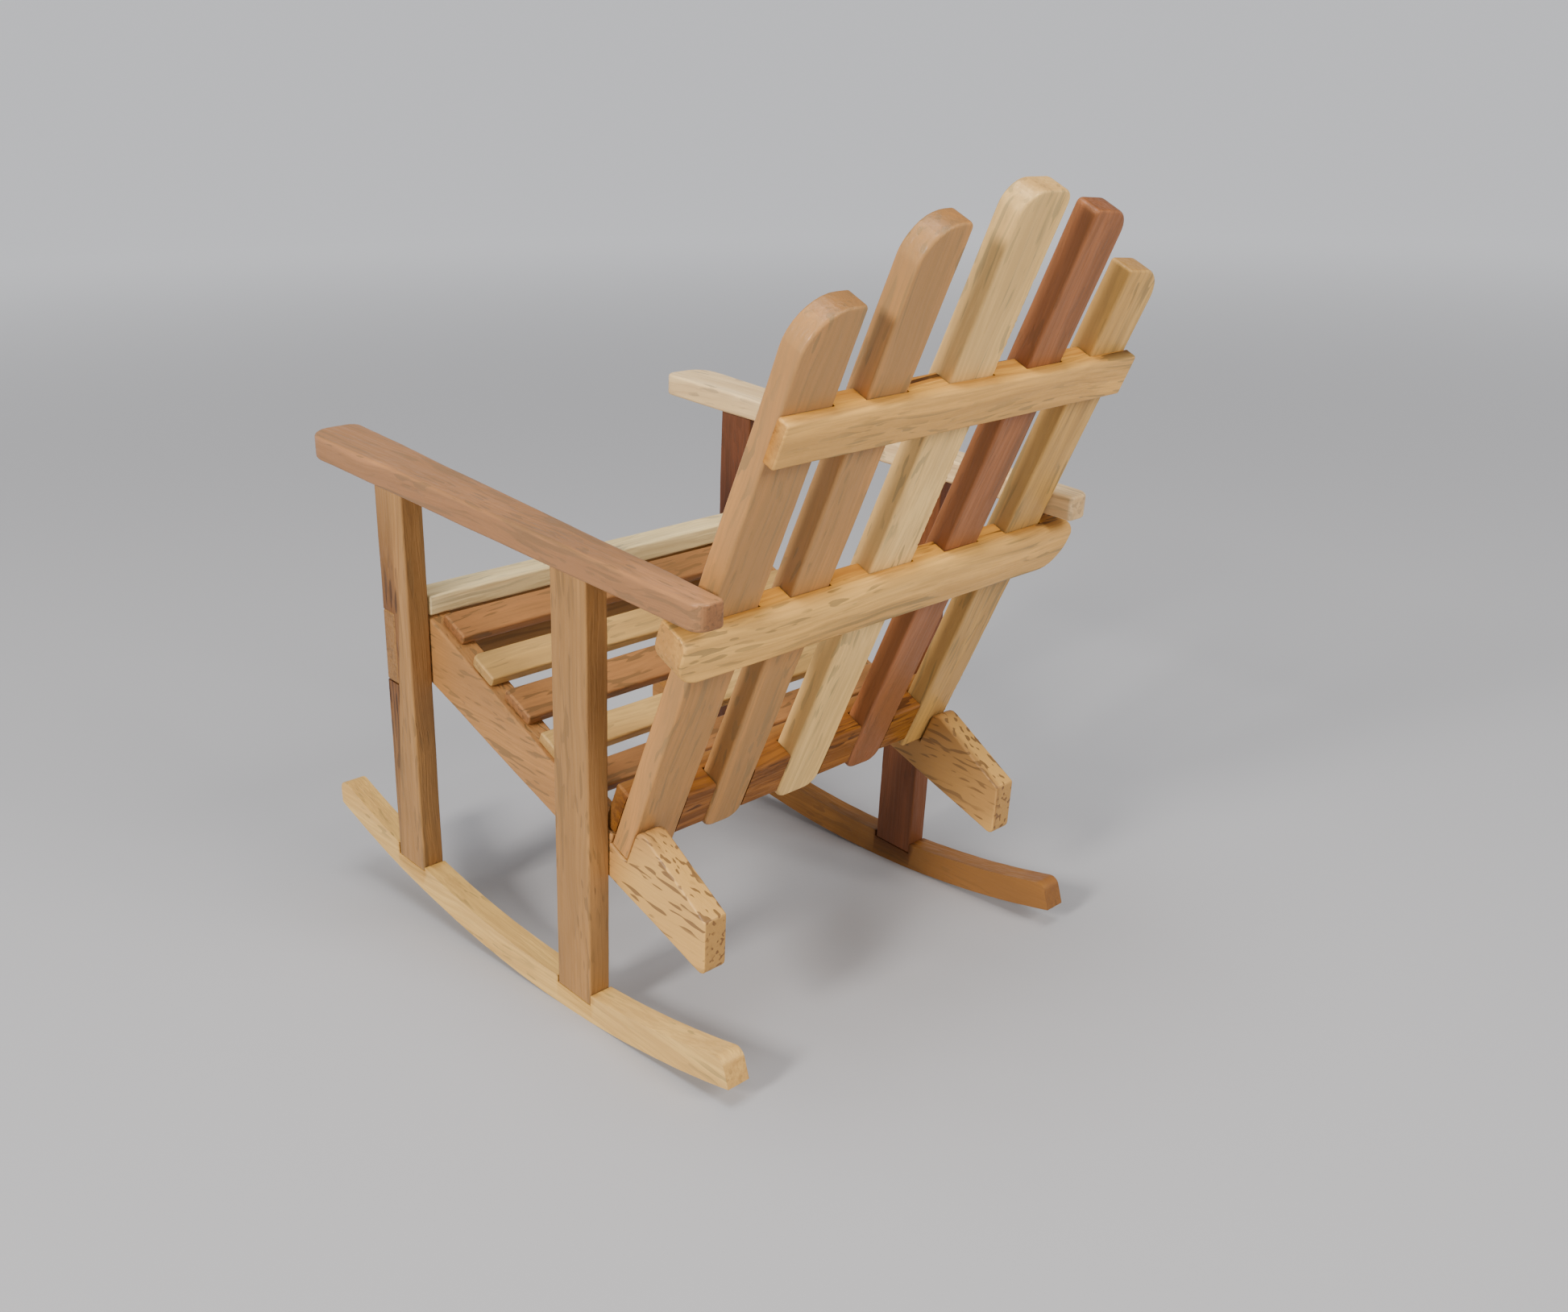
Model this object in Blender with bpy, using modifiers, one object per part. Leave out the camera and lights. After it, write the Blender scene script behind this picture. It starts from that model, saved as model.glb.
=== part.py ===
"""Dolls house rocking chair, one to twelve scale, built from thin hardwood strips.

Every piece of the chair is its own solid: two rockers, four square posts, two level arms, two
notched seat rails, the front apron and its cap strip, five seat slats, five back slats, and three
rails that are dadoed over the back slats. The glue lines between the pieces are left open.

Lengths are in millimetres here and turned into metres where the meshes are made. Stations run
backwards from the front posts' front faces, X runs across the chair, and heights are taken square
to the arms. The seat and the back share one leaning frame: X across, D behind the back slats'
rear faces, U up the slats. The whole chair rolls back on its rockers until its weight is over
the point where they touch the floor. It faces -Y, and the sitter's left hand is on +X.
"""
import math

import bmesh
import bpy
from mathutils import Matrix, Vector

MM = 0.001
GAP = 0.3                     # glue line left between neighbouring pieces
EASE = 0.16                   # sanded edge on every strip

# Rest pose
REST_ROLL = math.radians(5.2)    # how far the empty chair rolls back
REST_SHIFT = 30.51               # moves the chair forward so that the origin is at its middle

# Posts
HALF_WIDTH = 26.2             # centre plane to the outer faces of posts and rockers
POST_THICK = 2.6
FRONT_POST = (0.0, 5.4)       # stations of the front and rear faces
REAR_POST = (32.1, 37.8)
POST_TOP = 51.4

# Rockers
ROCKER_THICK = 2.7
ROCKER_RADIUS = 126.5
ROCKER_DEPTH = 3.35
ROCKER_LOW_STATION = 23.9
ROCKER_TOP_ENDS = (-11.1, 55.35)
ROCKER_BOTTOM_ENDS = (-13.4, 59.8)
ROCKER_FRONT_TIP = ((-13.56, 9.19, 1.9), (-14.1, 6.65, 0.0))    # station, height, radius
ROCKER_REAR_TIP = (58.66, 8.33, 3.1)
FRONT_SEAT_HEIGHT = 4.0       # floor of the notch that holds the front post
REAR_SEAT_HEIGHT = 2.6

# Arms
ARM_BOTTOM = 51.7
ARM_TOP = 54.4
ARM_ENDS = (-10.0, 56.0)
ARM_WIDTHS = (6.5, 3.2)       # front end, rear end
ARM_LEFT_CENTRES = (25.5, 26.4)
ARM_RIGHT_CENTRES = (-25.56, -25.25)

# Apron and cap strip
APRON_THICK = 2.35
APRON_HEIGHTS = (27.4, 36.0)
STRIP_STATIONS = (1.8, 5.4)
STRIP_TOP = 38.4

# Leaning frame of the seat and the back
LEAN = math.atan(0.394)
LEAN_STATION = 32.22          # where the back slats' rear plane meets the floor

# Seat rails
RAIL_OUTER = 23.3
RAIL_THICK = 2.7
SEAT_PLANE_U = 23.42
NOTCH_FLOOR_U = 22.06

# Seat slats: first and last D, half length, radius of the front corners
SEAT_SLAT_U = (23.72, 24.77)
SEAT_SLATS = (
    (-37.1, -32.97, 22.6, 0.3),
    (-30.2, -26.0, 23.3, 0.8),
    (-24.15, -19.45, 22.9, 0.4),
    (-17.2, -13.3, 23.0, 0.3),
    (-11.5, -7.9, 23.0, 0.3),
)

# Back slats: centre X, width, top U at the +X edge and at the -X edge, their corner radii,
# and the radius of the bottom corners
SLAT_THICK = 2.6
SLAT_BOTTOM_U = 22.36
BACK_SLATS = (
    (20.45, 6.0, 85.5, 85.5, 4.5, 0.4, 0.0),
    (10.95, 5.2, 92.0, 92.0, 3.9, 0.6, 1.7),
    (0.0, 6.2, 94.4, 94.2, 2.5, 1.2, 1.7),
    (-10.45, 5.2, 92.0, 91.6, 0.6, 2.0, 1.7),
    (-20.45, 5.8, 85.4, 84.8, 0.4, 2.8, 0.0),
)

# Rails of the back
LOWER_RAIL_U = (23.86, 29.25)
LOWER_RAIL_D = (-4.6, -0.15)
ARM_RAIL_U = (49.05, 54.5)
ARM_RAIL_D = (-1.9, 1.98)
ARM_RAIL_HALF = 27.5
UPPER_RAIL_U = (71.7, 76.15)
UPPER_RAIL_D = (-1.9, 1.35)
UPPER_RAIL_HALF = 23.75

# Varnish colours, sRGB
HONEY = "C08C50"
DEEP_HONEY = "A9733E"
PINK_TAN = "B98C69"
PALE_YELLOW = "D7C08A"
WALNUT = "96643F"
ROSE_TAN = "BE8F6A"


def linear(channel):
    """Return the linear value of one sRGB channel between 0 and 1."""
    if channel <= 0.04045:
        return channel / 12.92
    return ((channel + 0.055) / 1.055) ** 2.4


def varnished_wood(name, hex_colour, roughness):
    """Return a Principled material for a varnished strip."""
    material = bpy.data.materials.new(name)
    material.use_nodes = True
    shader = material.node_tree.nodes["Principled BSDF"]
    rgb = [linear(int(hex_colour[i:i + 2], 16) / 255.0) for i in (0, 2, 4)]
    shader.inputs["Base Color"].default_value = (*rgb, 1.0)
    shader.inputs["Roughness"].default_value = roughness
    shader.inputs["Metallic"].default_value = 0.0
    material.diffuse_color = (*rgb, 1.0)
    return material


def clear_scene():
    """Remove every object of the scene."""
    for obj in list(bpy.data.objects):
        bpy.data.objects.remove(obj, do_unlink=True)


def new_collection(name):
    """Return a new collection linked to the scene."""
    collection = bpy.data.collections.new(name)
    bpy.context.scene.collection.children.link(collection)
    return collection


def new_frame(name, collection, parent=None):
    """Return an empty that carries pieces drawn in its own axes."""
    empty = bpy.data.objects.new(name, None)
    empty.empty_display_size = 0.01
    collection.objects.link(empty)
    empty.parent = parent
    return empty


def rounded_corner(before, corner, after, radius):
    """Return the arc points that round one corner of an outline."""
    if radius <= 0.0:
        return [corner]
    to_before = (Vector(before) - Vector(corner)).normalized()
    to_after = (Vector(after) - Vector(corner)).normalized()
    half = to_before.angle(to_after) / 2.0
    centre = Vector(corner) + (to_before + to_after).normalized() * (radius / math.sin(half))
    start = Vector(corner) + to_before * (radius / math.tan(half)) - centre
    sweep = start.angle_signed(Vector(corner) + to_after * (radius / math.tan(half)) - centre)
    steps = max(2, round(abs(sweep) / math.radians(22.5)))
    points = []
    for step in range(steps + 1):
        turn = Matrix.Rotation(-sweep * step / steps, 2)
        points.append(tuple(centre + turn @ start))
    return points


def rounded_outline(corners):
    """Return an outline whose corners, given as x, y and radius, are rounded."""
    points = []
    count = len(corners)
    for index, (x, y, radius) in enumerate(corners):
        before = corners[index - 1][:2]
        after = corners[(index + 1) % count][:2]
        points.extend(rounded_corner(before, (x, y), after, radius))
    return points


def plate(name, outline, thickness, collection, parent):
    """Return a plate: a closed outline in the XY plane, extruded both ways and welded.

    The fill's triangles are joined again, so that a bevel can run round each face.
    """
    curve = bpy.data.curves.new(name + "_outline", "CURVE")
    curve.dimensions = "2D"
    curve.fill_mode = "BOTH"
    curve.extrude = thickness / 2.0 * MM
    spline = curve.splines.new("POLY")
    spline.points.add(len(outline) - 1)
    for point, (x, y) in zip(spline.points, outline):
        point.co = (x * MM, y * MM, 0.0, 1.0)
    spline.use_cyclic_u = True
    drawn = bpy.data.objects.new(name + "_drawn", curve)
    collection.objects.link(drawn)
    depsgraph = bpy.context.evaluated_depsgraph_get()
    mesh = bpy.data.meshes.new_from_object(drawn.evaluated_get(depsgraph))
    mesh.name = name
    shell = bmesh.new()
    shell.from_mesh(mesh)
    bmesh.ops.remove_doubles(shell, verts=shell.verts, dist=0.00001)
    bmesh.ops.dissolve_limit(shell, angle_limit=0.001, verts=shell.verts, edges=shell.edges)
    bmesh.ops.recalc_face_normals(shell, faces=shell.faces)
    shell.to_mesh(mesh)
    shell.free()
    solid = bpy.data.objects.new(name, mesh)
    solid.matrix_world = drawn.matrix_world
    collection.objects.link(solid)
    bpy.data.objects.remove(drawn, do_unlink=True)
    solid.parent = parent
    return solid


def block(name, low, high, collection, parent):
    """Return a box between two corners, with its origin at its centre."""
    low = Vector(low) * MM
    high = Vector(high) * MM
    cube = bmesh.new()
    bmesh.ops.create_cube(cube, size=1.0)
    bmesh.ops.scale(cube, vec=high - low, verts=cube.verts)
    mesh = bpy.data.meshes.new(name)
    cube.to_mesh(mesh)
    cube.free()
    solid = bpy.data.objects.new(name, mesh)
    solid.location = (low + high) / 2.0
    collection.objects.link(solid)
    solid.parent = parent
    return solid


def lay_sideways(solid, x):
    """Turn a plate drawn as station and height to stand across X."""
    solid.rotation_euler = (math.radians(90.0), 0.0, math.radians(90.0))
    solid.location = (x * MM, 0.0, 0.0)


def stand_in_back(solid, depth):
    """Turn a plate drawn as X and U to stand in the leaning frame at one D."""
    solid.rotation_euler = (math.radians(90.0), 0.0, 0.0)
    solid.location = (0.0, depth * MM, 0.0)


class Workshop:
    """Holds the collections and frames, and finishes each strip the same way."""

    def __init__(self):
        self.pieces = new_collection("miniature_rocking_chair")
        self.cutters = new_collection("cutters")
        self.chair = new_frame("chair", self.pieces)
        lift = ROCKER_RADIUS * (1.0 - math.cos(REST_ROLL))
        lift += ROCKER_LOW_STATION * math.sin(REST_ROLL)
        self.chair.location = (0.0, -REST_SHIFT * MM, lift * MM)
        self.chair.rotation_euler = (-REST_ROLL, 0.0, 0.0)
        self.back = new_frame("back_frame", self.pieces, self.chair)
        self.back.location = (0.0, LEAN_STATION * MM, 0.0)
        self.back.rotation_euler = (-LEAN, 0.0, 0.0)

    def cutter(self, name, low, high, parent):
        """Return a box that only cuts."""
        tool = block(name, low, high, self.cutters, parent)
        tool.hide_render = True
        tool.display_type = "WIRE"
        return tool

    def cut(self, solid, tools):
        """Cut a strip with each tool in turn."""
        for tool in tools:
            boolean = solid.modifiers.new("cut_" + tool.name, "BOOLEAN")
            boolean.operation = "DIFFERENCE"
            boolean.solver = "EXACT"
            boolean.object = tool

    def finish(self, solid, hex_colour, roughness=0.42):
        """Sand the strip's edges and varnish it."""
        bevel = solid.modifiers.new("sanded_edges", "BEVEL")
        bevel.width = EASE * MM
        bevel.segments = 1
        bevel.limit_method = "ANGLE"
        bevel.angle_limit = math.radians(40.0)
        solid.data.materials.clear()
        solid.data.materials.append(varnished_wood(solid.name, hex_colour, roughness))


def rocker_arc(radius, first, last, steps):
    """Return points of a rocker arc between two stations."""
    start = math.asin((first - ROCKER_LOW_STATION) / radius)
    stop = math.asin((last - ROCKER_LOW_STATION) / radius)
    points = []
    for step in range(steps + 1):
        angle = start + (stop - start) * step / steps
        station = ROCKER_LOW_STATION + radius * math.sin(angle)
        points.append((station, ROCKER_RADIUS - radius * math.cos(angle), 0.0))
    return points


def make_rockers(shop):
    """Make both rockers, notched for the posts."""
    top = rocker_arc(ROCKER_RADIUS - ROCKER_DEPTH, *ROCKER_TOP_ENDS, 16)
    bottom = rocker_arc(ROCKER_RADIUS, *ROCKER_BOTTOM_ENDS, 22)
    corners = top + [ROCKER_REAR_TIP] + bottom[::-1] + [*reversed(ROCKER_FRONT_TIP)]
    outline = rounded_outline(corners)
    centre = HALF_WIDTH - ROCKER_THICK / 2.0
    for name, side in (("rocker_left", 1), ("rocker_right", -1)):
        rocker = plate(name, outline, ROCKER_THICK, shop.pieces, shop.chair)
        lay_sideways(rocker, side * centre)
        inner, outer = sorted((side * 20.0, side * 30.0))
        tools = []
        for label, post, floor in (
            ("front", FRONT_POST, FRONT_SEAT_HEIGHT),
            ("rear", REAR_POST, REAR_SEAT_HEIGHT),
        ):
            low = (inner, post[0] - GAP, floor)
            high = (outer, post[1] + GAP, floor + 8.0)
            tools.append(shop.cutter(f"{name}_{label}_notch", low, high, shop.chair))
        shop.cut(rocker, tools)
        shop.finish(rocker, HONEY)


def make_posts(shop):
    """Make the four posts, with the front pair notched for the apron's ends."""
    for side_name, side in (("left", 1), ("right", -1)):
        inner, outer = sorted((side * (HALF_WIDTH - POST_THICK), side * HALF_WIDTH))
        low = (inner, FRONT_POST[0], FRONT_SEAT_HEIGHT + GAP)
        high = (outer, FRONT_POST[1], POST_TOP)
        front = block("front_post_" + side_name, low, high, shop.pieces, shop.chair)
        low = (inner - 2.0, FRONT_POST[0] - 2.0, APRON_HEIGHTS[0] - GAP)
        high = (outer + 2.0, APRON_THICK + GAP, APRON_HEIGHTS[1] + GAP)
        notch = shop.cutter(f"apron_notch_{side_name}", low, high, shop.chair)
        shop.cut(front, [notch])
        shop.finish(front, HONEY if side > 0 else DEEP_HONEY)
        low = (inner, REAR_POST[0], REAR_SEAT_HEIGHT + GAP)
        high = (outer, REAR_POST[1], POST_TOP)
        rear = block("rear_post_" + side_name, low, high, shop.pieces, shop.chair)
        shop.finish(rear, HONEY if side > 0 else DEEP_HONEY)


def make_arms(shop):
    """Make the two arms, which taper towards the back and are rounded in front."""
    front, rear = ARM_ENDS
    for name, side, centres in (
        ("arm_left", 1, ARM_LEFT_CENTRES),
        ("arm_right", -1, ARM_RIGHT_CENTRES),
    ):
        half_front, half_rear = (side * width / 2.0 for width in ARM_WIDTHS)
        corners = [
            (centres[0] + half_front, front, 3.3),
            (centres[1] + half_rear, rear, 1.6),
            (centres[1] - half_rear, rear, 0.5),
            (centres[0] - half_front, front, 1.2),
        ]
        arm = plate(name, rounded_outline(corners), ARM_TOP - ARM_BOTTOM, shop.pieces, shop.chair)
        arm.location = (0.0, 0.0, (ARM_BOTTOM + ARM_TOP) / 2.0 * MM)
        shop.finish(arm, PINK_TAN)


def make_apron(shop):
    """Make the apron let into the front posts, and the cap strip that lies on it."""
    low = (-HALF_WIDTH, 0.0, APRON_HEIGHTS[0])
    high = (HALF_WIDTH, APRON_THICK, APRON_HEIGHTS[1])
    apron = block("front_apron", low, high, shop.pieces, shop.chair)
    shop.finish(apron, HONEY)
    low = (-RAIL_OUTER, STRIP_STATIONS[0], APRON_HEIGHTS[1] + GAP)
    high = (RAIL_OUTER, STRIP_STATIONS[1], STRIP_TOP)
    strip = block("front_seat_strip", low, high, shop.pieces, shop.chair)
    shop.finish(strip, PALE_YELLOW)


def leaning_point(depth, rise):
    """Return the station and height of a point of the leaning frame."""
    station = LEAN_STATION + rise * math.sin(LEAN) + depth * math.cos(LEAN)
    height = rise * math.cos(LEAN) - depth * math.sin(LEAN)
    return station, height


def make_seat_rails(shop):
    """Make the sloping seat rails, notched behind for the outer back slats."""
    front = APRON_THICK + GAP
    flat_end = LEAN_STATION + (SEAT_PLANE_U - APRON_HEIGHTS[1] * math.cos(LEAN)) / math.sin(LEAN)
    corners = [
        (front, 28.57, 0.0),
        (front, APRON_HEIGHTS[1], 0.0),
        (flat_end, APRON_HEIGHTS[1], 0.0),
        (*leaning_point(-SLAT_THICK - GAP, SEAT_PLANE_U), 0.0),
        (*leaning_point(-SLAT_THICK - GAP, NOTCH_FLOOR_U), 0.0),
        (*leaning_point(GAP, NOTCH_FLOOR_U), 0.0),
        (*leaning_point(GAP, 27.3), 1.3),
        (52.7, 19.44, 0.0),
        (52.7, 13.05, 1.0),
    ]
    outline = rounded_outline(corners)
    centre = RAIL_OUTER - RAIL_THICK / 2.0
    for name, side in (("seat_rail_left", 1), ("seat_rail_right", -1)):
        rail = plate(name, outline, RAIL_THICK, shop.pieces, shop.chair)
        lay_sideways(rail, side * centre)
        shop.finish(rail, ROSE_TAN)


def make_seat_slats(shop):
    """Make the five thin seat slats."""
    low_u, high_u = SEAT_SLAT_U
    for number, (front, rear, half, radius) in enumerate(SEAT_SLATS, start=1):
        corners = [
            (half, front, radius),
            (half, rear, 0.3),
            (-half, rear, 0.3),
            (-half, front, radius),
        ]
        outline = rounded_outline(corners)
        slat = plate(f"seat_slat_{number}", outline, high_u - low_u, shop.pieces, shop.back)
        slat.location = (0.0, 0.0, (low_u + high_u) / 2.0 * MM)
        shop.finish(slat, PALE_YELLOW if number % 2 == 0 else ROSE_TAN)


def make_back_slats(shop):
    """Make the five back slats with their rounded tops."""
    colours = (HONEY, HONEY, PALE_YELLOW, WALNUT, PALE_YELLOW)
    for number, slat in enumerate(BACK_SLATS, start=1):
        centre, width, top_left, top_right, round_left, round_right, foot = slat
        left = centre + width / 2.0
        right = centre - width / 2.0
        corners = [
            (left, SLAT_BOTTOM_U, foot),
            (left, top_left, round_left),
            (right, top_right, round_right),
            (right, SLAT_BOTTOM_U, foot),
        ]
        outline = rounded_outline(corners)
        board = plate(f"back_slat_{number}", outline, SLAT_THICK, shop.pieces, shop.back)
        stand_in_back(board, -SLAT_THICK / 2.0)
        shop.finish(board, colours[number - 1])


def slat_dadoes(shop, name, rise, depth):
    """Return cutters that house the back slats in a rail, at one range of D."""
    tools = []
    for number, (centre, width, *_) in enumerate(BACK_SLATS, start=1):
        low = (centre - width / 2.0 - GAP, depth[0], rise[0] - 2.0)
        high = (centre + width / 2.0 + GAP, depth[1], rise[1] + 2.0)
        tools.append(shop.cutter(f"{name}_dado_{number}", low, high, shop.back))
    return tools


def make_lower_rail(shop):
    """Make the rail in front of the slats' feet, with teeth between the slats."""
    low = (-RAIL_OUTER, LOWER_RAIL_D[0], LOWER_RAIL_U[0])
    high = (RAIL_OUTER, LOWER_RAIL_D[1], LOWER_RAIL_U[1])
    rail = block("lower_back_rail", low, high, shop.pieces, shop.back)
    depth = (-SLAT_THICK - GAP, 3.0)
    tools = slat_dadoes(shop, "lower_rail", LOWER_RAIL_U, depth)
    for name, side in (("left", 1), ("right", -1)):
        inner, outer = sorted((side * 22.0, side * (RAIL_OUTER + 2.0)))
        low = (inner, depth[0], LOWER_RAIL_U[0] - 2.0)
        high = (outer, depth[1], LOWER_RAIL_U[1] + 2.0)
        tools.append(shop.cutter(f"lower_rail_end_{name}", low, high, shop.back))
    shop.cut(rail, tools)
    shop.finish(rail, DEEP_HONEY)


def make_arm_rail(shop):
    """Make the rail behind the slats that carries the arms' rear ends."""
    low_u, high_u = ARM_RAIL_U
    corners = [
        (ARM_RAIL_HALF, low_u, 3.4),
        (ARM_RAIL_HALF, high_u, 0.5),
        (-ARM_RAIL_HALF, high_u, 0.5),
        (-ARM_RAIL_HALF, low_u, 3.4),
    ]
    thickness = ARM_RAIL_D[1] - ARM_RAIL_D[0]
    outline = rounded_outline(corners)
    rail = plate("arm_back_rail", outline, thickness, shop.pieces, shop.back)
    stand_in_back(rail, (ARM_RAIL_D[0] + ARM_RAIL_D[1]) / 2.0)
    shop.cut(rail, slat_dadoes(shop, "arm_rail", ARM_RAIL_U, (-6.0, GAP)))
    shop.finish(rail, HONEY)


def make_upper_rail(shop):
    """Make the upper rail behind the slats."""
    low = (-UPPER_RAIL_HALF, UPPER_RAIL_D[0], UPPER_RAIL_U[0])
    high = (UPPER_RAIL_HALF, UPPER_RAIL_D[1], UPPER_RAIL_U[1])
    rail = block("upper_back_rail", low, high, shop.pieces, shop.back)
    tools = slat_dadoes(shop, "upper_rail", UPPER_RAIL_U, (-6.0, GAP))
    for name, side in (("left", 1), ("right", -1)):
        inner, outer = sorted((side * 22.0, side * (UPPER_RAIL_HALF + 2.0)))
        low = (inner, -6.0, UPPER_RAIL_U[0] - 2.0)
        high = (outer, GAP, UPPER_RAIL_U[1] + 2.0)
        tools.append(shop.cutter(f"upper_rail_end_{name}", low, high, shop.back))
    shop.cut(rail, tools)
    shop.finish(rail, HONEY)


def main():
    """Build the chair."""
    clear_scene()
    shop = Workshop()
    make_rockers(shop)
    make_posts(shop)
    make_arms(shop)
    make_apron(shop)
    make_seat_rails(shop)
    make_seat_slats(shop)
    make_back_slats(shop)
    make_lower_rail(shop)
    make_arm_rail(shop)
    make_upper_rail(shop)


main()
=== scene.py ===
"""Looks of the dolls house rocking chair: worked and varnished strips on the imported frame.

Lengths are in millimetres in the classes and become metres when a piece is placed. The chair's
own axes are X across, Y backwards from the front posts and Z square to the arms. The seat and
the back share leaning axes: X across, D behind the back slats and U up the slats.
"""
import logging
import math
from dataclasses import dataclass
from enum import Enum
from typing import Iterable, Iterator, Mapping, Sequence

import bmesh
import bpy
from mathutils import Matrix, Vector, noise


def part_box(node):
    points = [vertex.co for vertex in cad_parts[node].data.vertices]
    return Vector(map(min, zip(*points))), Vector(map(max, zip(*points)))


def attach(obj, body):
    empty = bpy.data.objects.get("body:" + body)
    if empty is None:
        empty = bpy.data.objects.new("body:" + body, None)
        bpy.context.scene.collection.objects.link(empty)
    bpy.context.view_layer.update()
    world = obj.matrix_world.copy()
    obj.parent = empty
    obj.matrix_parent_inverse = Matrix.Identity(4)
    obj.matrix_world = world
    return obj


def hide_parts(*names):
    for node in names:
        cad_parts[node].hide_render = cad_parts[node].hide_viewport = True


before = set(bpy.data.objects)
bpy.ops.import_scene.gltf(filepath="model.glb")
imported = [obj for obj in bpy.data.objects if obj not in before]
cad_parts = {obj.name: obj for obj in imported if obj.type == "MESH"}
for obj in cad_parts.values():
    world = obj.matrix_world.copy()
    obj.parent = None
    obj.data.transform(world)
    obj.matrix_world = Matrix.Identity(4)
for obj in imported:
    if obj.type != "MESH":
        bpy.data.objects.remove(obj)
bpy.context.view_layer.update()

MM = 0.001
GLUE = 0.08                  # width of a glue line, mm
RING = 1.8                   # distance between the rings that a strip's faces are sliced into, mm
PAST = 2.0                   # how far a cut runs out past the wood, mm
SHARP = math.radians(35.0)   # an edge whose faces turn more than this is sanded round
HALF_WIDTH = 26.2            # outer faces of the posts and rockers, mm from the middle
FRONT_POST = (0.0, 5.4, 4.3)     # first and last station and height of the foot, mm
REAR_POST = (32.1, 37.8, 2.9)
LOG = logging.getLogger("rocking_chair")

Tree = bpy.types.NodeTree
Socket = bpy.types.NodeSocket


class Slot(Enum):
    """Material slots."""

    HONEY = "honey_wood"
    DEEP_HONEY = "deep_honey_wood"
    PINK_TAN = "pink_tan_wood"
    PALE = "pale_wood"
    WALNUT = "walnut_wood"
    ROSE = "rose_wood"


class Grain(Enum):
    """Axis of a piece's drawing that the grain runs along."""

    X = 0
    Y = 1
    Z = 2


def linear(hex_colour: str) -> tuple[float, float, float, float]:
    """Turn an sRGB hex colour into linear values.

    Args:
        hex_colour: Six hex digits.

    Returns:
        Linear red, green and blue, with alpha 1.
    """
    channels = []
    for start in (0, 2, 4):
        value = int(hex_colour[start:start + 2], 16) / 255.0
        channels.append(value / 12.92 if value <= 0.04045 else ((value + 0.055) / 1.055) ** 2.4)
    return (channels[0], channels[1], channels[2], 1.0)


def add_node(
    tree: Tree,
    kind: str,
    inputs: Mapping[str | int, object] | None = None,
    **settings: object,
) -> bpy.types.Node:
    """Add a node with its settings, values and links.

    Args:
        tree: The node tree.
        kind: The node's type name.
        inputs: A value or an output socket for each input, by name or number.
        **settings: The node's own settings.

    Returns:
        The new node.
    """
    node = tree.nodes.new(kind)
    for name, value in settings.items():
        setattr(node, name, value)
    for key, value in (inputs or {}).items():
        if isinstance(value, Socket):
            tree.links.new(value, node.inputs[key])
        else:
            node.inputs[key].default_value = value
    return node


def add_object(name: str, data: bpy.types.ID) -> bpy.types.Object:
    """Add an object to the scene.

    Args:
        name: Its name.
        data: Its mesh, light or camera.

    Returns:
        The object.
    """
    thing = bpy.data.objects.new(name, data)
    bpy.context.scene.collection.objects.link(thing)
    return thing


def as_mesh(name: str, shape: bmesh.types.BMesh) -> bpy.types.Mesh:
    """Turn a shape into a mesh and free the shape.

    Args:
        name: The mesh's name.
        shape: The shape.

    Returns:
        The mesh.
    """
    mesh = bpy.data.meshes.new(name)
    shape.to_mesh(mesh)
    shape.free()
    return mesh


def bearing(azimuth: float, elevation: float) -> Vector:
    """Return the direction at an azimuth, 0 in front of the chair, and an elevation, in degrees."""
    turn, rise = math.radians(azimuth), math.radians(elevation)
    return Vector((math.sin(turn) * math.cos(rise), -math.cos(turn) * math.cos(rise), math.sin(rise)))


def extent(points: Iterable[Vector]) -> tuple[Vector, Vector]:
    """Return the lowest and the highest corner of the box around some points."""
    sides = list(zip(*points))
    return Vector(map(min, sides)), Vector(map(max, sides))


@dataclass(frozen=True)
class Pattern:
    """Noise drawn out along the grain, with cells in mm and the noise values that become 0 and 1."""

    width: float
    length: float
    octaves: float
    low: float
    high: float
    shift: float = 0.0


# Growth bands are about 1.5 mm wide. Fibres are drawn 0.2 mm wide, coarser than real ones.
BANDS = Pattern(1.5, 52.0, 2.0, 0.40, 0.62)
TONE = Pattern(8.0, 90.0, 1.0, 0.38, 0.62, 11.0)
FIBRE = Pattern(0.38, 14.0, 3.0, 0.40, 0.62, 23.0)
# Pores are dashes about 0.2 mm wide and 1 to 2 mm long that come in drifts.
PORE = Pattern(0.50, 3.0, 0.5, 0.59, 0.635, 37.0)
DRIFTS = Pattern(2.6, 14.0, 1.0, 0.62, 0.78, 41.0)
# Mineral streaks are 0.2 to 0.5 mm wide and 5 to 15 mm long, and come in zones.
STREAK = Pattern(0.70, 20.0, 1.5, 0.575, 0.63, 53.0)
ZONES = Pattern(4.0, 40.0, 1.0, 0.66, 0.82, 61.0)
# Hand sanding leaves the ground uneven over about 2 mm.
LUMPS = Pattern(1.6, 2.4, 2.0, 0.2, 0.8, 71.0)


@dataclass(frozen=True)
class StainAndShade:
    """A soft-edged patch of darker or paler colour: real marks of the wood, and painted shade on
    faces that lie in shadow. Place in world metres, radii in mm.
    """

    centre: Vector
    radii: tuple[float, float, float]
    colour: str
    strength: float
    turn: tuple[float, float, float] = (0.0, 0.0, 0.0)


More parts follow.
